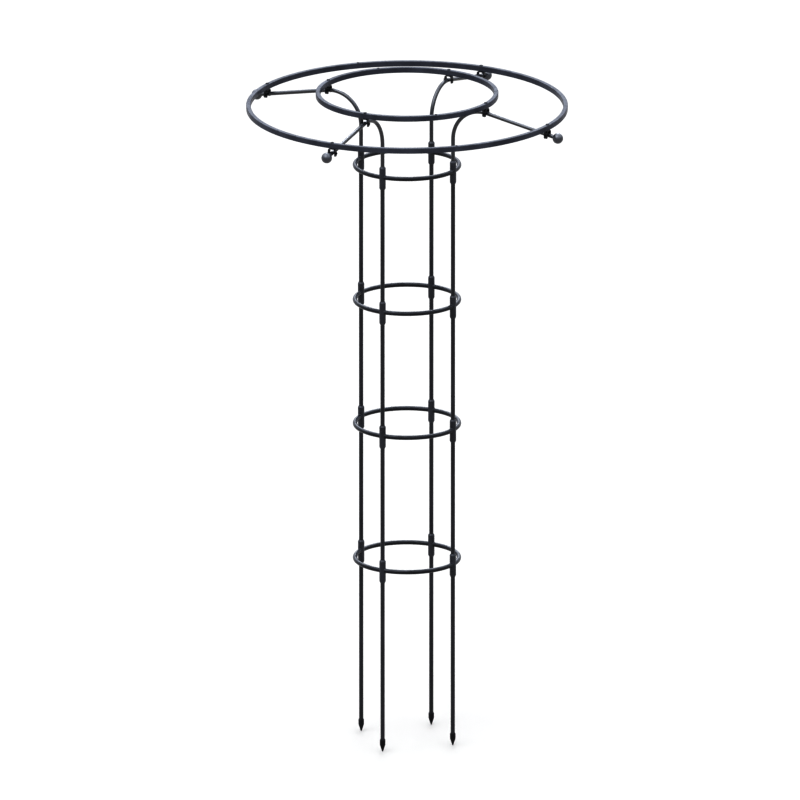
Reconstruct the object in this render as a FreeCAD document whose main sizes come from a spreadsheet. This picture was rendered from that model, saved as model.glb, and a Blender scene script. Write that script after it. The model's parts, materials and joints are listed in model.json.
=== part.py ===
import FreeCAD, Part
import os
import re
import Sketcher

# Garden obelisk with an umbrella crown, sizes in millimetres.
# Origin: on the ground plane of the four spike tips, on the column's axis. +Z is up.
# Four legs stand on one circle. Four hoops of round tube tie them together through cross-drilled
# sockets. From the top hoop four bent arms rise, lean outwards and carry an inner and an outer
# ring of flat-sided tube on small bent-strip brackets. Each arm ends in a ball.

doc = FreeCAD.newDocument("garden_obelisk")
UP = FreeCAD.Vector(0, 0, 1)
ACROSS_X = FreeCAD.Vector(1, 0, 0)
ACROSS_Y = FreeCAD.Vector(0, 1, 0)
LONG_EDGE = 100.0
SHORT_EDGE = 1.0
NOTHING = 1e-9

SIZES = {
    # legs and hoops
    "leg_circle_r": 162.0,
    "leg_tube_r": 6.5,
    "leg_wall": 1.0,
    "bottom_hoop_z": 590.0,
    "lower_hoop_z": 1027.0,
    "upper_hoop_z": 1429.0,
    "top_hoop_z": 1865.0,
    "hoop_tube_r": 7.0,
    "hoop_wall": 1.0,
    "hoop_seam_angle": 0.1,
    "first_corner": -135.0,
    # sockets: sleeves that join the tubes at each hoop
    "socket_r": 9.9,
    "socket_above": 34.5,
    "socket_below": 40.5,
    "socket_taper_top": 5.0,
    "socket_taper_low": 6.0,
    "socket_lip": 0.5,
    "bore_clear": 0.15,
    "hoop_clear": 0.1,
    # spikes
    "spike_band_r": 8.5,
    "spike_tip_r": 1.8,
    "spike_tip_round": 1.2,
    "spike_taper_top": 22.0,
    "spike_band_top": 37.0,
    "spike_top": 41.0,
    "spike_neck_r": 6.9,
    "plug_clear": 0.15,
    "plug_chamfer": 1.0,
    "spike_plug": 25.0,
    # arms and balls
    "arm_tube_r": 6.0,
    "arm_wall": 1.0,
    "arm_bend_start_z": 1970.1,
    "arm_bend_r": 100.0,
    "arm_slope": 10.75,
    "arm_end_reach": 514.5,
    "ball_r": 16.5,
    "ball_plug": 20.0,
    # crown rings
    "outer_ring_r": 493.0,
    "inner_ring_r": 277.0,
    "bar_wide": 14.0,
    "bar_high": 17.0,
    "bar_wall": 1.5,
    "bar_corner_r": 2.5,
    "seam_gap": 0.6,
    "joiner_length": 60.0,
    "joiner_clear": 0.1,
    "seam_screw_step": 9.0,
    # brackets between the rings and the arms
    "arm_gap": 9.5,
    "strip_thick": 3.0,
    "strip_wide": 12.0,
    "bracket_inside": 19.4,
    "bracket_tall": 25.0,
    "bracket_bend_out": 8.0,
    "bracket_bend_in": 5.0,
    "bracket_toe_r": 2.5,
    # fasteners
    "ring_screw_r": 2.5,
    "ring_screw_hole_r": 2.6,
    "ring_screw_head_r": 5.2,
    "ring_screw_head": 2.8,
    "ring_screw_spare": 1.0,
    "arm_bolt_r": 2.0,
    "arm_bolt_hole_r": 2.1,
    "arm_bolt_head_r": 3.9,
    "arm_bolt_head": 2.4,
    "arm_nut_flats": 7.0,
    "arm_nut_high": 3.2,
    "arm_bolt_spare": 1.5,
    "seam_screw_r": 1.9,
    "seam_screw_hole_r": 2.0,
    "seam_screw_head_r": 3.6,
    "seam_screw_head": 1.8,
    "seam_screw_depth": 9.0,
    "recess_flats": 2.5,
    "recess_depth": 1.3,
    "recess_over": 1.0,
    # proportions of every screw: shank end, side and dome of the head
    "shank_end_share": 0.8,
    "shank_end_slope": 0.3,
    "head_side_share": 0.45,
    "head_dome_share": 0.85,
    "head_flat_share": 0.6,
}

CORNERS = ["front_left", "front_right", "back_right", "back_left"]
LEVELS = ["bottom", "lower", "upper", "top"]
POSTS = ["lower_post", "middle_post", "upper_post"]
CROSSINGS = ("45", "135")  # where a half ring passes over its two arms, in degrees from its start

# Lengths and places that follow from the driving dimensions.
BEND_ANGLE = "(90 + arm_slope)"
BEND_REACH = f"(leg_circle_r + arm_bend_r * (1 - cos({BEND_ANGLE})))"
BEND_END_Z = f"(arm_bend_start_z + arm_bend_r * sin({BEND_ANGLE}))"
LEG_BORE_R = "(leg_tube_r - leg_wall)"
ARM_BORE_R = "(arm_tube_r - arm_wall)"
ARM_LOW_Z = "(top_hoop_z + hoop_tube_r + hoop_clear)"
BALL_SEAT = "sqrt(ball_r ^ 2 - arm_tube_r ^ 2)"


def arm_height(reach):
    """Height of the arm's axis where its straight end passes a given radius."""
    return f"({BEND_END_Z} - ({reach} - {BEND_REACH}) * tan(arm_slope))"


def ring_height(ring_r):
    """Height of a crown ring's mid-plane: it sits on brackets above the arms."""
    return f"({arm_height(ring_r)} + arm_tube_r + arm_gap + bar_high / 2)"


# ---------------------------------------------------------------- helpers


def make_sheet():
    """The driving dimensions, one row each."""
    table = doc.addObject("Spreadsheet::Sheet", "Sizes")
    for row, (word, value) in enumerate(SIZES.items(), start=1):
        table.set(f"A{row}", word)
        table.set(f"B{row}", str(value))
        table.setAlias(f"B{row}", word)
    doc.recompute()
    return table


def from_sheet(expression):
    """An expression in which each dimension's word points at its cell."""
    return re.sub(
        r"[a-z][a-z_0-9]*",
        lambda found: "Sizes." + found[0] if found[0] in SIZES else found[0],
        expression,
    )


def number(expression):
    """The present value of an expression."""
    value = sheet.evalExpression(from_sheet(expression))
    return float(getattr(value, "Value", value))


def bind(thing, ties):
    """Tie properties of an object to expressions."""
    for name, expression in ties.items():
        thing.setExpression(name, from_sheet(expression))
    return thing


def put(thing, x="0", y="0", z="0", axis=UP, turn="0"):
    """Place an object by expressions: a point, and a turn in degrees about one axis."""
    point = FreeCAD.Vector(number(x), number(y), number(z))
    thing.Placement = FreeCAD.Placement(point, FreeCAD.Rotation(axis, number(turn)))
    ways = {"x": x, "y": y, "z": z}
    bind(thing, {f"Placement.Base.{side}": way for side, way in ways.items() if way != "0"})
    if turn != "0":
        bind(thing, {"Placement.Rotation.Angle": turn})
    return thing


def corner_angle(index):
    """Direction of one leg, in degrees from +X."""
    return f"(first_corner + 90 * {index})"


def at_corner(thing, index, reach="leg_circle_r", z="0"):
    """Place an object in one leg's direction, its own +X facing outwards."""
    way = corner_angle(index)
    return put(thing, x=f"{reach} * cos({way})", y=f"{reach} * sin({way})", z=z, turn=way)


def rod(name, radius, length, **place):
    """A round bar along its own +Z."""
    bar = doc.addObject("Part::Cylinder", name)
    return put(bind(bar, {"Radius": radius, "Height": length}), **place)


def cross_rod(name, radius, length, x="0", z="0"):
    """A round bar along Y, centred on the XZ plane."""
    return rod(name, radius, length, x=x, y=f"-({length}) / 2", z=z, axis=ACROSS_X, turn="-90")


def hoop_rod(name, ring_r, radius, sweep, **place):
    """A round bar bent to an arc about its own +Z, starting on +X."""
    bar = doc.addObject("Part::Torus", name)
    return put(bind(bar, {"Radius1": ring_r, "Radius2": radius, "Angle3": sweep}), **place)


def block(name, wide, deep, tall, top):
    """A box centred on Z in X and Y, with its top at a given height."""
    box = doc.addObject("Part::Box", name)
    bind(box, {"Length": wide, "Width": deep, "Height": tall})
    return put(box, x=f"-({wide}) / 2", y=f"-({deep}) / 2", z=f"{top} - ({tall})")


def hex_bar(name, flats, length, **place):
    """A hexagonal bar along its own +Z."""
    bar = doc.addObject("Part::Prism", name)
    bar.Polygon = 6
    bind(bar, {"Circumradius": f"{flats} / 2 / cos(30)", "Height": length})
    return put(bar, **place)


def join(name, pieces):
    """One shape from touching or separate pieces."""
    whole = doc.addObject("Part::MultiFuse", name)
    whole.Shapes = pieces
    whole.Refine = True
    return whole


def cut(name, base, *tools):
    """The base less every tool."""
    result = doc.addObject("Part::Cut", name)
    result.Base = base
    result.Tool = tools[0] if len(tools) == 1 else join(name + "_tools", list(tools))
    return result


def group(name, pieces):
    """Several separate solids of one kind kept together."""
    several = doc.addObject("Part::Compound", name)
    several.Links = pieces
    return several


def rounded(name, base, choices):
    """The base with chosen edges rounded. Each choice is a test of an edge and a radius."""
    doc.recompute()
    result = doc.addObject("Part::Fillet", name)
    result.Base = base
    edges = []
    for place, edge in enumerate(base.Shape.Edges, start=1):
        for wanted, radius in choices:
            if wanted(edge):
                edges.append((place, number(radius), number(radius)))
    result.Edges = edges
    return result


def pin_corner(sketch, line, kind, zero_axis, expression, value):
    """Hold a line's start on an axis, or at a bound distance from the origin."""
    if abs(value) < NOTHING:
        sketch.addConstraint(Sketcher.Constraint("PointOnObject", line, 1, zero_axis))
        return
    index = sketch.addConstraint(Sketcher.Constraint(kind, -1, 1, line, 1, value))
    sketch.setExpression(f"Constraints[{index}]", from_sheet(expression))


def turned(name, outline):
    """A lathe-turned solid. The outline lists (radius, height) corners in order."""
    body = doc.addObject("PartDesign::Body", name)
    sketch = body.newObject("Sketcher::SketchObject", name + "_outline")
    upright = [plane for plane in body.Origin.OriginFeatures if plane.Role == "XZ_Plane"]
    sketch.AttachmentSupport = [(upright[0], "")]
    sketch.MapMode = "FlatFace"
    corners = [FreeCAD.Vector(number(out), number(high), 0) for out, high in outline]
    count = len(corners)
    for here in range(count):
        sketch.addGeometry(Part.LineSegment(corners[here], corners[(here + 1) % count]), False)
    for here, (out, high) in enumerate(outline):
        after = (here + 1) % count
        sketch.addConstraint(Sketcher.Constraint("Coincident", here, 2, after, 1))
        pin_corner(sketch, here, "DistanceX", -2, out, corners[here].x)
        pin_corner(sketch, here, "DistanceY", -1, high, corners[here].y)
    turn = body.newObject("PartDesign::Revolution", name + "_turn")
    turn.Profile = sketch
    turn.ReferenceAxis = (sketch, ["V_Axis"])
    turn.Angle = 360
    sketch.Visibility = False
    return body


# ---------------------------------------------------------------- column


def spike(index):
    """Foot: blunt point, long taper, short full band, shoulder, and a plug inside the leg."""
    plug_r = f"{LEG_BORE_R} - plug_clear"
    plug_top = "spike_top + spike_plug"
    outline = [
        ("0", "0"),
        ("spike_tip_r - spike_tip_round", "0"),
        ("spike_tip_r", "spike_tip_round"),
        ("spike_band_r", "spike_taper_top"),
        ("spike_band_r", "spike_band_top"),
        ("spike_neck_r", "spike_top"),
        (plug_r, "spike_top"),
        (plug_r, f"{plug_top} - plug_chamfer"),
        (f"{plug_r} - plug_chamfer", plug_top),
        ("0", plug_top),
    ]
    return at_corner(turned("spike_" + CORNERS[index], outline), index)


def leg_tube(name, index, low, high):
    """A straight tube between two heights."""
    label = f"{name}_{CORNERS[index]}"
    length = f"({high}) - ({low})"
    outside = rod(label + "_outside", "leg_tube_r", length)
    inside = rod(label + "_inside", LEG_BORE_R, length)
    return at_corner(cut(label, outside, inside), index, z=low)


def legs():
    """Four tubes one above another in each corner, each stopping against the hoops."""
    stop = "(hoop_tube_r + hoop_clear)"
    tubes = [leg_tube("ground_leg", at, "spike_top", f"bottom_hoop_z - {stop}") for at in range(4)]
    for name, below, above in zip(POSTS, LEVELS, LEVELS[1:]):
        low = f"{below}_hoop_z + {stop}"
        high = f"{above}_hoop_z - {stop}"
        tubes += [leg_tube(name, at, low, high) for at in range(4)]
    return tubes


def hoop(level):
    """One round-tube hoop, bent to a circle, its two ends butted at the back."""
    name = level + "_hoop"
    sweep = "360 - hoop_seam_angle"
    outside = hoop_rod(name + "_outside", "leg_circle_r", "hoop_tube_r", sweep)
    inside = hoop_rod(name + "_inside", "leg_circle_r", "hoop_tube_r - hoop_wall", sweep)
    turn = "90 + hoop_seam_angle / 2"
    return put(cut(name, outside, inside), z=f"{level}_hoop_z", turn=turn)


def socket(level, index):
    """A sleeve with tapered ends, cross-drilled for the hoop. The top ones narrow for the arms."""
    name = f"{level}_socket_{CORNERS[index]}"
    low_bore = "(leg_tube_r + bore_clear)"
    top_bore = "(arm_tube_r + bore_clear)" if level == "top" else low_bore
    outline = [
        (low_bore, "-socket_below"),
        (f"{low_bore} + socket_lip", "-socket_below"),
        ("socket_r", "-socket_below + socket_taper_low"),
        ("socket_r", "socket_above - socket_taper_top"),
        (f"{top_bore} + socket_lip", "socket_above"),
        (top_bore, "socket_above"),
    ]
    if level == "top":
        outline += [(top_bore, "hoop_tube_r"), (low_bore, "hoop_tube_r")]
    sleeve = turned(name + "_sleeve", outline)
    cross_hole = hoop_rod(
        name + "_cross_hole", "leg_circle_r", "hoop_tube_r + hoop_clear", "360", x="-leg_circle_r"
    )
    return at_corner(cut(name, sleeve, cross_hole), index, z=f"{level}_hoop_z")


# ---------------------------------------------------------------- arms and balls


def arm_run(name, radius):
    """A bar along the arm's centre line: straight up, over the bend, then down the slope."""
    straight = f"arm_bend_start_z - {ARM_LOW_Z}"
    rise = rod(name + "_rise", radius, straight)
    bend = hoop_rod(name + "_bend", "arm_bend_r", radius, BEND_ANGLE)
    over = FreeCAD.Rotation(UP, 180) * FreeCAD.Rotation(ACROSS_X, 90)
    centre = FreeCAD.Vector(number("arm_bend_r"), 0, number(straight))
    bend.Placement = FreeCAD.Placement(centre, over)
    bind(bend, {"Placement.Base.x": "arm_bend_r", "Placement.Base.z": straight})
    slope = rod(
        name + "_slope",
        radius,
        f"(arm_end_reach - {BEND_REACH}) / cos(arm_slope)",
        x=f"{BEND_REACH} - leg_circle_r",
        z=f"{BEND_END_Z} - {ARM_LOW_Z}",
        axis=ACROSS_Y,
        turn=BEND_ANGLE,
    )
    return join(name, [rise, bend, slope])


def arm(index):
    """One bent tube, drilled crosswise for the two bracket bolts."""
    name = "arm_" + CORNERS[index]
    tools = [arm_run(name + "_inside", ARM_BORE_R)]
    for ring in ("inner", "outer"):
        reach = f"{ring}_ring_r"
        tools.append(
            cross_rod(
                f"{name}_{ring}_hole",
                "arm_bolt_hole_r",
                "3 * arm_tube_r",
                x=f"{reach} - leg_circle_r",
                z=f"{arm_height(reach)} - {ARM_LOW_Z}",
            )
        )
    tube = cut(name, arm_run(name + "_outside", "arm_tube_r"), *tools)
    return at_corner(tube, index, z=ARM_LOW_Z)


def ball(index):
    """Ball finial with a flat against the arm's end and a plug inside it."""
    name = "ball_finial_" + CORNERS[index]
    x = f"arm_end_reach - leg_circle_r + {BALL_SEAT} * cos(arm_slope)"
    z = f"{arm_height('arm_end_reach')} - {BALL_SEAT} * sin(arm_slope)"
    globe = doc.addObject("Part::Sphere", name + "_globe")
    bind(globe, {"Radius": "ball_r", "Angle1": "-acos(arm_tube_r / ball_r)"})
    put(globe, x=x, z=z, axis=ACROSS_Y, turn=BEND_ANGLE)
    plug = rod(
        name + "_plug",
        f"{ARM_BORE_R} - plug_clear",
        "ball_plug",
        x="arm_end_reach - leg_circle_r - ball_plug * cos(arm_slope)",
        z=f"{arm_height('arm_end_reach')} + ball_plug * sin(arm_slope)",
        axis=ACROSS_Y,
        turn=BEND_ANGLE,
    )
    return at_corner(join(name, [globe, plug]), index)


# ---------------------------------------------------------------- crown rings


def curved_bar(name, ring_r, wide, high, sweep="360", turn="0"):
    """A flat-sided bar bent about Z, its mid-plane at height zero."""
    outside = rod(name + "_out", f"{ring_r} + ({wide}) / 2", high, z=f"-({high}) / 2", turn=turn)
    bind(outside, {"Angle": sweep})
    inside = rod(name + "_in", f"{ring_r} - ({wide}) / 2", f"2 * ({high})", z=f"-({high})")
    return cut(name, outside, inside)


def is_long_arc(edge):
    """True for the four long edges of a half ring."""
    return isinstance(edge.Curve, Part.Circle) and edge.Length > LONG_EDGE


def upright_hole(name, radius, ring_r, angle, low, length):
    """A hole parallel to Z at a point of the ring's centre line."""
    return rod(name, radius, length, x=f"{ring_r} * cos({angle})", y=f"{ring_r} * sin({angle})", z=low)


def seam_step(ring_r):
    """Angle from a ring's seam to its screw, in degrees."""
    return f"(seam_screw_step / {ring_r} * 180 / pi)"


def half_ring(ring, side, start):
    """Half a ring of hollow flat-sided tube with rounded corners."""
    name = f"{ring}_ring_{side}"
    ring_r = ring + "_ring_r"
    gap = f"(seam_gap / {ring_r} * 180 / pi)"
    bar = curved_bar(
        name + "_bar", ring_r, "bar_wide", "bar_high", sweep=f"180 - {gap}", turn=f"{gap} / 2"
    )
    skin = rounded(name + "_skin", bar, [(is_long_arc, "bar_corner_r")])
    hollow = curved_bar(
        name + "_hollow", ring_r, "bar_wide - 2 * bar_wall", "bar_high - 2 * bar_wall"
    )
    tools = [hollow]
    for place in CROSSINGS:
        tools.append(
            upright_hole(
                f"{name}_hole_{place}", "ring_screw_hole_r", ring_r, place, "-bar_high", "2 * bar_high"
            )
        )
    tools.append(
        upright_hole(
            name + "_seam_hole", "seam_screw_hole_r", ring_r, seam_step(ring_r), "0", "bar_high"
        )
    )
    return put(cut(name, skin, *tools), z=ring_height(ring_r), turn=start)


def joiner(ring, start):
    """A short curved bar inside the tube, bridging one seam."""
    name = f"{ring}_joiner_{'back' if start == '90' else 'front'}"
    ring_r = ring + "_ring_r"
    sweep = f"(joiner_length / {ring_r} * 180 / pi)"
    slack = "2 * bar_wall - 2 * joiner_clear"
    bar = curved_bar(
        name + "_bar",
        ring_r,
        f"bar_wide - {slack}",
        f"bar_high - {slack}",
        sweep=sweep,
        turn=f"-{sweep} / 2",
    )
    hole = upright_hole(
        name + "_hole", "seam_screw_hole_r", ring_r, seam_step(ring_r), "-bar_high", "2 * bar_high"
    )
    return put(cut(name, bar, hole), z=ring_height(ring_r), turn=start)


# ---------------------------------------------------------------- brackets and fasteners


def bracket(name):
    """A strip bent to an arch: crown under the ring, one leg on each side of the arm."""
    outside_wide = "bracket_inside + 2 * strip_thick"
    outer = block(name + "_outer", "strip_wide", outside_wide, "bracket_tall", "0")
    inner = block(name + "_inner", "2 * strip_wide", "bracket_inside", "bracket_tall", "-strip_thick")
    low = -number("bracket_tall")

    def is_shoulder(edge):
        """Top edge that runs along the strip's width."""
        box = edge.BoundBox
        return box.XLength > SHORT_EDGE > box.YLength and box.ZMin > low / 2

    def is_toe(edge):
        """Bottom edge across the strip's end."""
        box = edge.BoundBox
        return box.YLength > SHORT_EDGE and box.ZMax < low + SHORT_EDGE

    arch = rounded(
        name + "_arch", outer, [(is_shoulder, "bracket_bend_out"), (is_toe, "bracket_toe_r")]
    )
    gap = rounded(name + "_gap", inner, [(is_shoulder, "bracket_bend_in")])
    crown_hole = rod(name + "_crown_hole", "ring_screw_hole_r", "2 * bracket_tall", z="-bracket_tall")
    leg_holes = cross_rod(
        name + "_leg_holes", "arm_bolt_hole_r", "2 * bracket_inside", z="-arm_gap - arm_tube_r"
    )
    return cut(name, arch, gap, crown_hole, leg_holes)


def screw(name, radius, head_r, head, length):
    """A low round head with a hexagonal recess, and a plain shank down from height zero."""
    outline = [
        ("0", f"-({length})"),
        (f"{radius} * shank_end_share", f"-({length})"),
        (radius, f"-({length}) + {radius} * shank_end_slope"),
        (radius, "0"),
        (head_r, "0"),
        (head_r, f"{head} * head_side_share"),
        (f"{head_r} * head_dome_share", f"{head} * head_dome_share"),
        (f"{head_r} * head_flat_share", head),
        ("0", head),
    ]
    blank = turned(name + "_blank", outline)
    deep = "recess_depth + recess_over"
    recess = hex_bar(name + "_recess", "recess_flats", deep, z=f"{head} - recess_depth")
    return cut(name, blank, recess)


def each_crossing(ring):
    """The four corners where an arm passes under a ring."""
    return [(f"{ring}_{corner}", index) for index, corner in enumerate(CORNERS)]


def crown_brackets(ring):
    """The four brackets under one ring."""
    pieces = []
    for place, index in each_crossing(ring):
        under = f"{ring_height(ring + '_ring_r')} - bar_high / 2"
        pieces.append(at_corner(bracket("bracket_" + place), index, ring + "_ring_r", under))
    return group(ring + "_ring_brackets", pieces)


def bracket_screws():
    """One screw down through the ring into each bracket's crown."""
    pieces = []
    length = "bar_high + strip_thick + ring_screw_spare"
    for ring in ("inner", "outer"):
        for place, index in each_crossing(ring):
            piece = screw(
                "ring_screw_" + place, "ring_screw_r", "ring_screw_head_r", "ring_screw_head", length
            )
            top = f"{ring_height(ring + '_ring_r')} + bar_high / 2"
            pieces.append(at_corner(piece, index, ring + "_ring_r", top))
    return group("bracket_screws", pieces)


def on_arm_axis(name, piece, ring, index, offset):
    """Lay a piece crosswise on the arm's axis below a ring, its own +Z turned to local -Y."""
    holder = doc.addObject("Part::Compound", name)
    holder.Links = [put(piece, y=offset, axis=ACROSS_X, turn="90")]
    return at_corner(holder, index, ring + "_ring_r", arm_height(ring + "_ring_r"))


def arm_bolts():
    """One bolt across each bracket and its arm."""
    pieces = []
    grip = "bracket_inside + 2 * strip_thick"
    length = f"{grip} + arm_nut_high + arm_bolt_spare"
    for ring in ("inner", "outer"):
        for place, index in each_crossing(ring):
            bolt = screw(
                "bolt_" + place, "arm_bolt_r", "arm_bolt_head_r", "arm_bolt_head", length
            )
            pieces.append(on_arm_axis("arm_bolt_" + place, bolt, ring, index, f"-({grip}) / 2"))
    return group("arm_bolts", pieces)


def arm_nuts():
    """One hexagonal nut on each arm bolt."""
    pieces = []
    outer_face = "bracket_inside / 2 + strip_thick"
    for ring in ("inner", "outer"):
        for place, index in each_crossing(ring):
            hexagon = hex_bar("nut_hexagon_" + place, "arm_nut_flats", "arm_nut_high")
            hole = rod("nut_hole_" + place, "arm_bolt_hole_r", "arm_nut_high")
            nut = cut("nut_" + place, hexagon, hole)
            offset = f"{outer_face} + arm_nut_high"
            pieces.append(on_arm_axis("arm_nut_" + place, nut, ring, index, offset))
    return group("arm_bolt_nuts", pieces)


def seam_screws():
    """One screw beside each seam, down into the joiner."""
    pieces = []
    for ring in ("inner", "outer"):
        ring_r = ring + "_ring_r"
        for side, start in (("front", "-90"), ("back", "90")):
            piece = screw(
                f"seam_screw_{ring}_{side}",
                "seam_screw_r",
                "seam_screw_head_r",
                "seam_screw_head",
                "seam_screw_depth",
            )
            way = f"({start} + {seam_step(ring_r)})"
            top = f"{ring_height(ring_r)} + bar_high / 2"
            x = f"{ring_r} * cos({way})"
            y = f"{ring_r} * sin({way})"
            pieces.append(put(piece, x=x, y=y, z=top, turn=way))
    return group("seam_screws", pieces)


# ---------------------------------------------------------------- the whole object


def build():
    """Every sub-part in its place."""
    nodes = [spike(index) for index in range(4)]
    nodes += legs()
    nodes += [hoop(level) for level in LEVELS]
    nodes += [socket(level, index) for level in LEVELS for index in range(4)]
    nodes += [arm(index) for index in range(4)]
    nodes += [ball(index) for index in range(4)]
    for ring in ("inner", "outer"):
        nodes.append(half_ring(ring, "right", "-90"))
        nodes.append(half_ring(ring, "left", "90"))
        nodes.append(crown_brackets(ring))
    joiners = [joiner(ring, start) for ring in ("inner", "outer") for start in ("-90", "90")]
    nodes.append(group("ring_joiners", joiners))
    nodes += [seam_screws(), bracket_screws(), arm_bolts(), arm_nuts()]
    return nodes


def check_and_write(nodes):
    """Refuse any faulty object, then write one file for each sub-part."""
    doc.recompute()
    for thing in doc.Objects:
        if "Invalid" in thing.State or "Error" in thing.State:
            raise RuntimeError(f"{thing.Name} is {thing.State}")
        if hasattr(thing, "Shape") and thing.isDerivedFrom("Part::Feature"):
            if thing.Shape.isNull() or not thing.Shape.isValid():
                raise RuntimeError(thing.Name + " has a faulty shape")
    os.makedirs("parts", exist_ok=True)
    for node in nodes:
        node.Label = node.Name
        node.Shape.exportStep(f"parts/{node.Name}.step")


sheet = make_sheet()
check_and_write(build())
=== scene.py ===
import json
import math

import bmesh
import bpy
from mathutils import Matrix, Vector


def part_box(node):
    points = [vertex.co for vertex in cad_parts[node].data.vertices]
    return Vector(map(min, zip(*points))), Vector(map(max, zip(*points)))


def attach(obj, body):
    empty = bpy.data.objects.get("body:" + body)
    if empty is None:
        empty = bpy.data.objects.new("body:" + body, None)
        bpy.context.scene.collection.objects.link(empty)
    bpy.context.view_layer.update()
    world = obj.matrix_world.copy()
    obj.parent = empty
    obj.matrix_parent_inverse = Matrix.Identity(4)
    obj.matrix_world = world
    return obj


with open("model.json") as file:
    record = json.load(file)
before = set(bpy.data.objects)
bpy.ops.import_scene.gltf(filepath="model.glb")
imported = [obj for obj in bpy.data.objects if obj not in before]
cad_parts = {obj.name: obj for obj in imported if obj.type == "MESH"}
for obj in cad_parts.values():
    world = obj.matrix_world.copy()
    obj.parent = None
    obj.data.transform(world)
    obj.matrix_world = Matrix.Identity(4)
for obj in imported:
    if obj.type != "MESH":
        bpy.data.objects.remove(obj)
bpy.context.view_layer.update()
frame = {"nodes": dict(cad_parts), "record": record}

# Looks for the garden obelisk: a finish for every CAD node, then weld beads, bolt threads and mould
# lines as pieces of their own, a pale floor, soft light and a long-lens camera. Metres throughout.

MM = 0.001
LEVELS = ("bottom", "lower", "upper", "top")
CORNERS = ("front_left", "front_right", "back_right", "back_left")


# ---------------------------------------------------------------- node helpers


class Nodes:
    """Short calls for building one material's node tree."""

    def __init__(self, name):
        self.material = bpy.data.materials.new(name)
        self.material.use_nodes = True
        self.tree = self.material.node_tree
        self.tree.nodes.clear()
        self.out = self.add("ShaderNodeOutputMaterial")
        self.shader = self.add("ShaderNodeBsdfPrincipled")
        self.link(self.shader.outputs["BSDF"], self.out.inputs["Surface"])
        self.place = self.add("ShaderNodeTexCoord").outputs["Object"]

    def add(self, kind, **settings):
        node = self.tree.nodes.new(kind)
        for name, value in settings.items():
            setattr(node, name, value)
        return node

    def link(self, source, target):
        self.tree.links.new(source, target)

    def set(self, socket, value):
        """Give one of the shader's inputs a fixed number or another node's output."""
        if isinstance(value, (int, float)):
            self.shader.inputs[socket].default_value = value
        else:
            self.link(value, self.shader.inputs[socket])

    def noise(self, scale, detail=3.0, rough=0.55, stretch=None):
        """Noise in metres: scale is features per metre."""
        node = self.add("ShaderNodeTexNoise")
        node.inputs["Scale"].default_value = scale
        node.inputs["Detail"].default_value = detail
        node.inputs["Roughness"].default_value = rough
        place = self.place
        if stretch:
            mapping = self.add("ShaderNodeMapping")
            mapping.inputs["Scale"].default_value = stretch
            self.link(place, mapping.inputs["Vector"])
            place = mapping.outputs["Vector"]
        self.link(place, node.inputs["Vector"])
        return node.outputs["Fac"]

    def span(self, value, low, high, to_low=0.0, to_high=1.0):
        """Map a range of values to another, clamped."""
        node = self.add("ShaderNodeMapRange")
        node.inputs["From Min"].default_value = low
        node.inputs["From Max"].default_value = high
        node.inputs["To Min"].default_value = to_low
        node.inputs["To Max"].default_value = to_high
        self.link(value, node.inputs["Value"])
        return node.outputs["Result"]

    def math(self, operation, first, second):
        node = self.add("ShaderNodeMath", operation=operation)
        for socket, value in zip(node.inputs, (first, second)):
            if isinstance(value, (int, float)):
                socket.default_value = value
            else:
                self.link(value, socket)
        return node.outputs[0]

    def mix(self, amount, first, second):
        """Colour between two, by an amount."""
        node = self.add("ShaderNodeMix", data_type="RGBA")
        self.link(amount, node.inputs["Factor"])
        for socket, colour in zip((node.inputs[6], node.inputs[7]), (first, second)):
            if isinstance(colour, tuple):
                socket.default_value = (*colour, 1.0)
            else:
                self.link(colour, socket)
        return node.outputs[2]

    def bump(self, height, strength, distance, under=None):
        node = self.add("ShaderNodeBump")
        node.inputs["Strength"].default_value = strength
        node.inputs["Distance"].default_value = distance
        self.link(height, node.inputs["Height"])
        if under is not None:
            self.link(under, node.inputs["Normal"])
        return node.outputs["Normal"]

    def upward(self):
        """How far the surface faces up, from -1 to 1."""
        split = self.add("ShaderNodeSeparateXYZ")
        self.link(self.add("ShaderNodeNewGeometry").outputs["Normal"], split.inputs["Vector"])
        return split.outputs["Z"]


# ---------------------------------------------------------------- materials


# Sizes of surface detail, in features per metre.
CLOUDS = 14.0
DUST_AND_TOP_LIGHT_PATCHES = 42.0
SHEEN_PATCHES = 60.0
ORANGE_PEEL = 430.0
FINE_PEEL = 1700.0
PINHOLES = 2600.0
FLOW_STREAKS = 120.0
SCUFFS = 700.0
PLASTIC_SHEEN = 90.0
SPARK_GRAIN = 1500.0
RUBBED_SPOTS = 900.0
ZINC_SHEEN = 1400.0
ZINC_GRAIN = 2200.0
OIL_STAINS = 80.0
STEEL_SHEEN = 600.0
DRAW_LINES = 1200.0
PAPER_CLOUDS = 1.6
PAPER_GRAIN = 800.0

# Blue-grey that upward faces are lightened towards: partly dust, partly a painted highlight standing
# for light from above.
DUST_AND_TOP_LIGHT_GREY = (0.2, 0.208, 0.22)
DUST_AND_TOP_LIGHT_COVER = 0.3
SCUFF_GREY = (0.04, 0.039, 0.038)
STREAK_STRETCH = (1.0, 1.0, 0.18)
SCUFF_STRETCH = (1.0, 1.0, 0.25)


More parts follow.
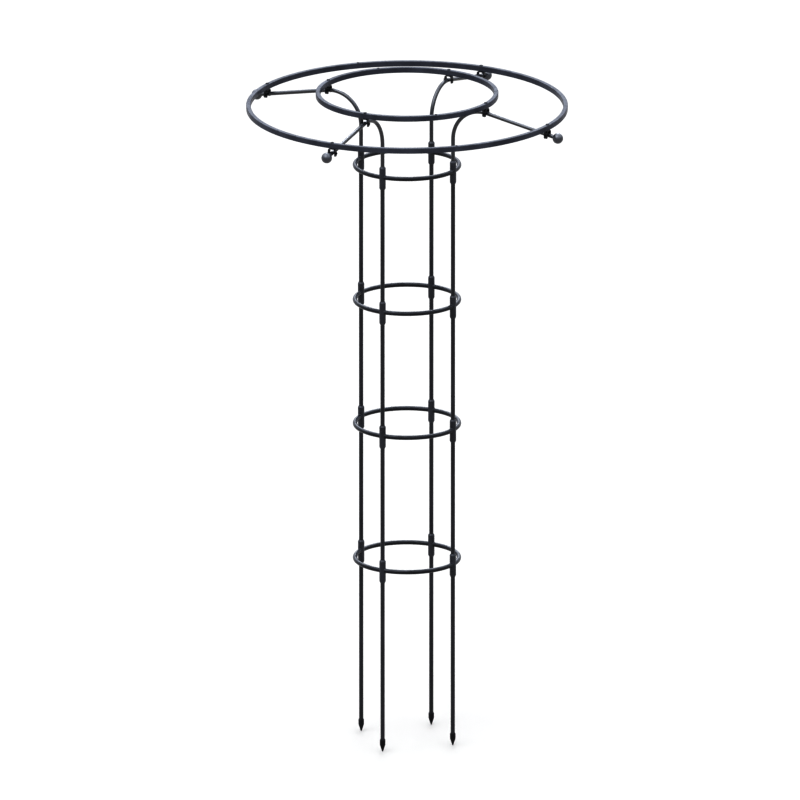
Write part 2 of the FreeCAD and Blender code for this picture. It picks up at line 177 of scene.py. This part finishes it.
def powder_coat(name, deep, light, rough, peel=1.0, gloss=0.42):
    """Satin powder coat: orange peel, fine pinholes, faint cloudiness, and on upward faces a
    blue-grey lightening that is partly dust and partly a painted highlight of light from above.
    """
    look = Nodes(name)
    cloud = look.span(look.noise(CLOUDS, 4.0), 0.35, 0.65)
    speck = look.span(look.noise(PINHOLES, 2.0), 0.62, 0.72)
    # Patches on upward faces mixed towards blue-grey: partly dust, partly a painted highlight of the
    # light from above.
    dust_and_top_light_spread = look.span(look.noise(DUST_AND_TOP_LIGHT_PATCHES, 5.0, 0.65), 0.38, 0.72)
    facing_up = look.span(look.upward(), 0.35, 1.0, 0.0, DUST_AND_TOP_LIGHT_COVER)
    dust_and_top_light = look.math("MULTIPLY", facing_up, dust_and_top_light_spread)
    base = look.mix(cloud, deep, light)
    bright = tuple(part * 1.9 for part in light)
    base = look.mix(look.math("MULTIPLY", speck, 0.35), base, bright)
    base = look.mix(dust_and_top_light, base, DUST_AND_TOP_LIGHT_GREY)
    look.set("Base Color", base)
    sheen = look.span(look.noise(SHEEN_PATCHES, 4.0), 0.3, 0.7, rough - 0.05, rough + 0.07)
    look.set("Roughness", look.math("ADD", sheen, look.math("MULTIPLY", dust_and_top_light, 0.5)))
    coarse = look.bump(look.noise(ORANGE_PEEL, 2.0, 0.45), 0.32 * peel, 0.35 * MM)
    look.set("Normal", look.bump(look.noise(FINE_PEEL, 2.0), 0.12 * peel, 0.12 * MM, coarse))
    look.set("IOR", 1.5)
    look.set("Specular IOR Level", gloss)
    return look.material


def moulded_plastic(name):
    """Black moulded plastic: spark-eroded grain, flow streaks along the leg, pale scuffs."""
    look = Nodes(name)
    streak = look.span(look.noise(FLOW_STREAKS, 3.0, 0.5, STREAK_STRETCH), 0.35, 0.7)
    base = look.mix(streak, (0.006, 0.006, 0.0068), (0.014, 0.014, 0.0155))
    scuff = look.span(look.noise(SCUFFS, 4.0, 0.7, SCUFF_STRETCH), 0.6, 0.7, 0.0, 0.5)
    look.set("Base Color", look.mix(scuff, base, SCUFF_GREY))
    look.set("Roughness", look.span(look.noise(PLASTIC_SHEEN), 0.3, 0.7, 0.5, 0.66))
    look.set("Normal", look.bump(look.noise(SPARK_GRAIN, 3.0, 0.6), 0.35, 0.15 * MM))
    look.set("IOR", 1.47)
    look.set("Specular IOR Level", 0.2)
    return look.material


def blackened_steel(name):
    """Black zinc on fasteners: metal under a thin dark film, lighter where it has rubbed."""
    look = Nodes(name)
    rub = look.span(look.noise(RUBBED_SPOTS, 4.0, 0.65), 0.5, 0.72)
    look.set("Base Color", look.mix(rub, (0.012, 0.0125, 0.014), (0.06, 0.06, 0.063)))
    look.set("Roughness", look.span(look.noise(ZINC_SHEEN), 0.3, 0.7, 0.28, 0.5))
    look.set("Normal", look.bump(look.noise(ZINC_GRAIN, 2.0), 0.2, 0.1 * MM))
    look.set("Metallic", 0.85)
    return look.material


def bare_steel(name):
    """Cold-drawn steel with draw lines and a little oil staining, hidden inside the rings."""
    look = Nodes(name)
    stain = look.span(look.noise(OIL_STAINS, 4.0), 0.4, 0.7)
    look.set("Base Color", look.mix(stain, (0.42, 0.42, 0.43), (0.2, 0.185, 0.165)))
    look.set("Roughness", look.span(look.noise(STEEL_SHEEN), 0.3, 0.7, 0.3, 0.48))
    look.set("Normal", look.bump(look.noise(DRAW_LINES, 2.0), 0.2, 0.1 * MM))
    look.set("Metallic", 1.0)
    return look.material


def floor_paper(name):
    """Matt studio paper, a little uneven in tone."""
    look = Nodes(name)
    tone = look.span(look.noise(PAPER_CLOUDS, 3.0), 0.3, 0.7)
    look.set("Base Color", look.mix(tone, (0.322, 0.307, 0.282), (0.328, 0.314, 0.288)))
    look.set("Normal", look.bump(look.noise(PAPER_GRAIN, 3.0), 0.05, 0.2 * MM))
    look.set("Roughness", 0.9)
    look.set("Specular IOR Level", 0.1)
    return look.material


COATS = {
    "tube_coat": powder_coat(
        "tube_powder_coat",
        deep=(0.0068, 0.0072, 0.0089),
        light=(0.0127, 0.0135, 0.0169),
        rough=0.22,
        peel=0.5,
        gloss=0.46,
    ),
    "ring_coat": powder_coat(
        "ring_powder_coat",
        deep=(0.032, 0.0335, 0.0405),
        light=(0.05, 0.0525, 0.063),
        rough=0.27,
        peel=0.5,
        gloss=0.06,
    ),
    "socket_coat": powder_coat(
        "socket_powder_coat",
        deep=(0.0135, 0.014, 0.0172),
        light=(0.0245, 0.0256, 0.0315),
        rough=0.3,
    ),
    "bracket_coat": powder_coat(
        "bracket_powder_coat",
        deep=(0.005, 0.0052, 0.0062),
        light=(0.009, 0.0095, 0.0115),
        rough=0.34,
    ),
    "ball_lacquer": powder_coat(
        "ball_satin_coat",
        deep=(0.0135, 0.0146, 0.0183),
        light=(0.0214, 0.0234, 0.0288),
        rough=0.22,
        peel=0.4,
        gloss=0.95,
    ),
    "spike_plastic": moulded_plastic("spike_moulded_plastic"),
    "fastener_black": blackened_steel("fastener_black_zinc"),
    "joiner_steel": bare_steel("joiner_cold_drawn_steel"),
}
# A darker, duller copy of the tube coat for the hoops: painted shade, as the hoops share the tubes'
# coat.
HOOP_SHADED_COAT = powder_coat(
    "hoop_shaded_powder_coat",
    deep=(0.0062, 0.0066, 0.0082),
    light=(0.0115, 0.0122, 0.0153),
    rough=0.24,
    peel=0.5,
    gloss=0.27,
)
# A darker, glossier copy of the tube coat for the arms: a painted highlight standing for brighter
# light on the arms, which share the tubes' coat.
ARM_HIGHLIGHT_COAT = powder_coat(
    "arm_highlight_powder_coat",
    deep=(0.0055, 0.006, 0.0076),
    light=(0.0105, 0.0114, 0.0145),
    rough=0.2,
    peel=0.4,
    gloss=0.85,
)


SAME_POINT = 0.002 * MM
FLAT_SIDES_LEAD = 100


def even_shading(node):
    """Join a ring's faces and let its flat sides lead the shading over its rounded edges."""
    weld = node.modifiers.new("weld", "WELD")
    weld.merge_threshold = SAME_POINT
    even = node.modifiers.new("even", "WEIGHTED_NORMAL")
    even.mode = "FACE_AREA"
    even.weight = FLAT_SIDES_LEAD


def finish_of(name, slot):
    """A node's finish: its slot's, but hoops get a darker, duller copy of the tube coat as painted
    shade, and arms a darker, glossier copy as painted highlight.
    """
    if name.endswith("_hoop"):
        return HOOP_SHADED_COAT
    if name.startswith("arm_") and slot == "tube_coat":
        return ARM_HIGHLIGHT_COAT
    return COATS[slot]


def dress_cad():
    """Give every CAD node its finish."""
    slots = {row["node"]: row["material_slot"] for row in frame["record"]["subparts"]}
    for name, node in frame["nodes"].items():
        node.data.materials.clear()
        node.data.materials.append(finish_of(name, slots[name]))
        if slots[name] == "ring_coat":
            even_shading(node)


dress_cad()


# ---------------------------------------------------------------- mesh helpers


def mesh_piece(name, points, faces, slot, smooth=True):
    """A new piece of the object from points and faces, riding on the one body."""
    mesh = bpy.data.meshes.new(name)
    mesh.from_pydata(points, [], faces)
    mesh.validate()
    skin = bmesh.new()
    skin.from_mesh(mesh)
    bmesh.ops.recalc_face_normals(skin, faces=skin.faces)
    skin.to_mesh(mesh)
    skin.free()
    if smooth:
        mesh.shade_smooth()
    mesh.materials.append(COATS[slot])
    piece = bpy.data.objects.new(name, mesh)
    bpy.context.scene.collection.objects.link(piece)
    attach(piece, "root")
    return piece


class Builder:
    """Collects points and faces of several parts of one piece."""

    def __init__(self):
        self.points = []
        self.faces = []

    def rings(self, rings, closed=True):
        """Skin a list of equally long closed rings of points, joined end to end if closed."""
        start = len(self.points)
        width = len(rings[0])
        for ring in rings:
            self.points += [tuple(point) for point in ring]
        spans = len(rings) if closed else len(rings) - 1
        for row in range(spans):
            this = start + row * width
            after = start + (row + 1) % len(rings) * width
            for k in range(width):
                right = (k + 1) % width
                self.faces.append((this + k, this + right, after + right, after + k))
        if not closed:
            self.faces.append(tuple(start + k for k in reversed(range(width))))
            last = start + (len(rings) - 1) * width
            self.faces.append(tuple(last + k for k in range(width)))


def middle(node):
    """Centre of a CAD node's box."""
    low, high = (Vector(corner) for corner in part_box(node))
    return (low + high) / 2


# ---------------------------------------------------------------- sizes read from the CAD nodes

COLUMN_R = Vector(middle("ground_leg_front_left")[:2]).length
SOCKET_R = (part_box("lower_socket_front_left")[1][0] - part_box("lower_socket_front_left")[0][0]) / 2
HOOP_R = (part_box("lower_hoop")[1][2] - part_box("lower_hoop")[0][2]) / 2
CORNER_ANGLE = {corner: math.radians(-135 + 90 * place) for place, corner in enumerate(CORNERS)}

AROUND_BEAD = 12
ALONG_BEAD = 132
SADDLE_BEAD_R = 1.25 * MM
SADDLE_BEAD_LIFT = 0.15 * MM
SADDLE_DABS = 22
SEAM_BEAD_R = 1.5 * MM
SEAM_BEAD_SINK = 0.55 * MM
SEAM_DABS = 18
BEAD_CROWN = 0.8
BEAD_FOOT = 0.5


def bead_ring(centre, tangent, outward, radius):
    """A circle of points about a bead's centre line, flattened against the metal."""
    across = tangent.cross(outward).normalized()
    out = across.cross(tangent).normalized()
    ring = []
    for k in range(AROUND_BEAD):
        turn = math.tau * k / AROUND_BEAD
        lift = math.sin(turn) * (BEAD_CROWN if math.sin(turn) > 0 else BEAD_FOOT)
        ring.append(centre + across * radius * math.cos(turn) + out * radius * lift)
    return ring


def ripple(share, count, phase):
    """Bead radius along its length, as a share: overlapping dabs of weld, a little uneven."""
    dab = 0.16 * abs(math.sin(math.pi * (share * count + phase)))
    drift = 0.06 * math.sin(math.tau * (share * 3 + phase))
    return 0.86 + dab + drift


def saddle_point(turn, side):
    """Where the hoop's skin meets a socket's, in the socket's frame: out, along the hoop, up."""
    reach = COLUMN_R + HOOP_R * math.cos(turn)
    cosine = (reach**2 + COLUMN_R**2 - SOCKET_R**2) / (2 * reach * COLUMN_R)
    swing = math.acos(min(1.0, cosine))
    out = reach * math.cos(swing)
    along = side * reach * math.sin(swing)
    return Vector((out, along, HOOP_R * math.sin(turn)))


def saddle_bead(builder, angle, level_z, side, phase):
    """A fillet of weld all round the hoop where it enters a socket."""
    centre_line = [saddle_point(math.tau * k / ALONG_BEAD, side) for k in range(ALONG_BEAD)]
    place = Matrix.Translation((0.0, 0.0, level_z)) @ Matrix.Rotation(angle, 4, "Z")
    rings = []
    for k, point in enumerate(centre_line):
        tangent = centre_line[(k + 1) % ALONG_BEAD] - centre_line[k - 1]
        off_socket = Vector((point.x - COLUMN_R, point.y, 0.0)).normalized()
        turn = math.tau * k / ALONG_BEAD
        off_hoop = Vector((math.cos(turn), 0.0, math.sin(turn)))
        outward = (off_socket + off_hoop).normalized()
        centre = point + outward * SADDLE_BEAD_LIFT
        size = SADDLE_BEAD_R * ripple(k / ALONG_BEAD, SADDLE_DABS, phase)
        ring = bead_ring(centre, tangent.normalized(), outward, size)
        rings.append([place @ corner for corner in ring])
    builder.rings(rings)


def hoop_seam_bead(builder, level_z, phase):
    """The ground-down weld that closes a hoop at the back."""
    rings = []
    for k in range(ALONG_BEAD):
        turn = math.tau * k / ALONG_BEAD
        out = Vector((0.0, math.cos(turn), math.sin(turn)))
        along = Vector((0.0, -math.sin(turn), math.cos(turn)))
        centre = Vector((0.0, COLUMN_R, level_z)) + out * (HOOP_R - SEAM_BEAD_SINK)
        size = SEAM_BEAD_R * ripple(k / ALONG_BEAD, SEAM_DABS, phase)
        rings.append(bead_ring(centre, along, out, size))
    builder.rings(rings)


def make_welds():
    """Weld beads, one piece for each hoop's eight joints and one for the four hoop seams."""
    seams = Builder()
    for place, level in enumerate(LEVELS):
        level_z = middle(level + "_hoop").z
        beads = Builder()
        for corner, angle in CORNER_ANGLE.items():
            for side in (-1, 1):
                phase = 0.37 * place + 0.21 * side + angle
                saddle_bead(beads, angle, level_z, side, phase)
        mesh_piece(level + "_hoop_welds", beads.points, beads.faces, "socket_coat")
        hoop_seam_bead(seams, level_z, phase=0.3 * place)
    mesh_piece("hoop_seam_welds", seams.points, seams.faces, "tube_coat")


make_welds()


# ---------------------------------------------------------------- threads and moulding lines

BOLT_R = 2.0 * MM
NUT_FACE = 15.95 * MM
THREAD_END = 17.0 * MM
THREAD_PITCH = 0.7 * MM
THREAD_STEPS = 24
THREAD_FLANK = 0.22 * MM
THREAD_ROOT = -0.12 * MM
THREAD_CREST = 0.26 * MM
FADE_STEPS = 8
LEAST_FADE = 0.25

# How far out and how high the bolts sit that cross the arms under each ring.
CROSSINGS = {"inner": (0.277, 2.069), "outer": (0.493, 2.028)}


def crossing_frame(angle, reach, height):
    """Turn a point given as out, across and up at an arm's bolt into the object's frame."""
    along = Vector((math.cos(angle), math.sin(angle), 0.0))
    side = Vector((-math.sin(angle), math.cos(angle), 0.0))
    origin = along * reach + Vector((0.0, 0.0, height))
    return lambda out, across, up: origin + along * out + side * across + Vector((0.0, 0.0, up))


def thread(builder, angle, reach, height):
    """The last turns of thread on a bolt's end, past its nut, fading out at the tip."""
    place = crossing_frame(angle, reach, height)
    steps = int((THREAD_END - NUT_FACE) / THREAD_PITCH * THREAD_STEPS)
    rings = []
    for k in range(steps + 1):
        turn = math.tau * k / THREAD_STEPS
        across = NUT_FACE + THREAD_PITCH * k / THREAD_STEPS
        crest = THREAD_CREST * min(1.0, (steps - k) / FADE_STEPS + LEAST_FADE)
        section = ((-THREAD_FLANK, THREAD_ROOT), (0.0, crest), (THREAD_FLANK, THREAD_ROOT))
        ring = []
        for shift, lift in section:
            radius = BOLT_R + lift
            ring.append(place(radius * math.cos(turn), across + shift, radius * math.sin(turn)))
        rings.append(ring)
    builder.rings(rings, closed=False)


def make_threads():
    """Thread on all eight arm bolts."""
    threads = Builder()
    for reach, height in CROSSINGS.values():
        for angle in CORNER_ANGLE.values():
            thread(threads, angle, reach, height)
    mesh_piece("arm_bolt_threads", threads.points, threads.faces, "fastener_black", smooth=False)


# A spike's outline as radius and height above its point, in millimetres.
SPIKE_OUTLINE = (
    (1.7, 1.4),
    (3.4, 6.7),
    (5.1, 11.9),
    (6.8, 17.2),
    (8.35, 22.0),
    (8.5, 23.0),
    (8.5, 36.6),
    (7.0, 40.4),
)
FLASH_ROOT = 0.3 * MM
FLASH_RISE = 0.22 * MM
FLASH_TIP = 0.07 * MM


def moulding_line(builder, corner, angle):
    """The raised flash where the two halves of a spike's mould met."""
    foot = middle("spike_" + corner)
    out = Vector((math.cos(angle), math.sin(angle), 0.0))
    side = Vector((-out.y, out.x, 0.0))
    for way in (-1, 1):
        rings = []
        for radius, height in SPIKE_OUTLINE:
            centre = Vector((foot.x, foot.y, height * MM))
            root = centre + side * way * (radius * MM - FLASH_ROOT)
            tip = centre + side * way * (radius * MM + FLASH_RISE)
            rings.append(
                [
                    root + out * FLASH_ROOT,
                    tip + out * FLASH_TIP,
                    tip - out * FLASH_TIP,
                    root - out * FLASH_ROOT,
                ]
            )
        builder.rings(rings, closed=False)


def make_moulding_lines():
    """Flash lines on the four spikes."""
    lines = Builder()
    for corner, angle in CORNER_ANGLE.items():
        moulding_line(lines, corner, angle)
    mesh_piece("spike_moulding_lines", lines.points, lines.faces, "spike_plastic")


make_threads()
make_moulding_lines()


# ---------------------------------------------------------------- camera, light and floor

# The view's width at the object, and where it aims: a height, and a step left of the axis.
VIEW_WIDTH = 2.493
AIM_HEIGHT = 1.1015
AIM_ASIDE = 0.0218
LENS = 1500.0
SENSOR = 36.0
AZIMUTH = math.radians(-17.0)
TILT = math.radians(16.5)
NEAREST_SEEN = 1.0
PAST_OBJECT = 1.3

PAPER_HALF = 40.0
DAYLIGHT = (0.9, 0.94, 1.0)
SKY = (0.87, 0.91, 1.0)
HORIZON_GLOW = 1.1
ZENITH_GLOW = 3.5
RISE_FROM = 0.12
RISE_TO = 0.75
DISPLAY_GAMMA = 0.62


def make_camera():
    """A very long lens from the front left and above, so that the view is almost parallel."""
    camera = bpy.data.objects.new("camera", bpy.data.cameras.new("camera"))
    bpy.context.scene.collection.objects.link(camera)
    camera.data.lens = LENS
    camera.data.sensor_width = SENSOR
    distance = VIEW_WIDTH * LENS / SENSOR
    back = Vector(
        (
            math.sin(AZIMUTH) * math.cos(TILT),
            -math.cos(AZIMUTH) * math.cos(TILT),
            math.sin(TILT),
        )
    )
    right = Vector((math.cos(AZIMUTH), math.sin(AZIMUTH), 0.0))
    aim = Vector((0.0, 0.0, AIM_HEIGHT)) - right * AIM_ASIDE
    camera.location = aim + back * distance
    camera.rotation_mode = "QUATERNION"
    camera.rotation_quaternion = (-back).to_track_quat("-Z", "Y")
    camera.data.clip_start = NEAREST_SEEN
    camera.data.clip_end = distance * PAST_OBJECT
    bpy.context.scene.camera = camera


def far_lamp(name, towards, power, width):
    """A round soft lamp far away, seen from the object in a given direction, width in degrees."""
    lamp = bpy.data.lights.new(name, "SUN")
    lamp.energy = power
    lamp.angle = math.radians(width)
    lamp.color = DAYLIGHT
    holder = bpy.data.objects.new(name, lamp)
    holder.rotation_mode = "QUATERNION"
    holder.rotation_quaternion = (-Vector(towards)).to_track_quat("-Z", "Y")
    bpy.context.scene.collection.objects.link(holder)


def overcast_dome():
    """Light from all of the upper half, brighter overhead than at the horizon."""
    world = bpy.data.worlds.new("studio")
    bpy.context.scene.world = world
    world.use_nodes = True
    tree = world.node_tree
    background = tree.nodes["Background"]
    background.inputs["Color"].default_value = (*SKY, 1.0)
    place = tree.nodes.new("ShaderNodeTexCoord")
    split = tree.nodes.new("ShaderNodeSeparateXYZ")
    rise = tree.nodes.new("ShaderNodeMapRange")
    rise.inputs["From Min"].default_value = RISE_FROM
    rise.inputs["From Max"].default_value = RISE_TO
    rise.inputs["To Min"].default_value = HORIZON_GLOW
    rise.inputs["To Max"].default_value = ZENITH_GLOW
    tree.links.new(place.outputs["Generated"], split.inputs["Vector"])
    tree.links.new(split.outputs["Z"], rise.inputs["Value"])
    tree.links.new(rise.outputs["Result"], background.inputs["Strength"])


def make_floor():
    """A wide sheet of pale paper, level with the points of the spikes."""
    half = PAPER_HALF
    mesh = bpy.data.meshes.new("floor")
    corners = [(-half, -half, 0.0), (half, -half, 0.0), (half, half, 0.0), (-half, half, 0.0)]
    mesh.from_pydata(corners, [], [(0, 1, 2, 3)])
    mesh.materials.append(floor_paper("floor_paper"))
    floor = bpy.data.objects.new("floor", mesh)
    bpy.context.scene.collection.objects.link(floor)


def make_studio():
    """Pale floor, overcast sky, one broad lamp high on the left and one behind."""
    make_floor()
    far_lamp("key", (-0.5, -0.25, 0.85), power=1.6, width=50.0)
    far_lamp("back", (0.236, 0.774, 0.588), power=1.4, width=30.0)
    overcast_dome()
    view = bpy.context.scene.view_settings
    view.view_transform = "Standard"
    view.gamma = DISPLAY_GAMMA


make_camera()
make_studio()
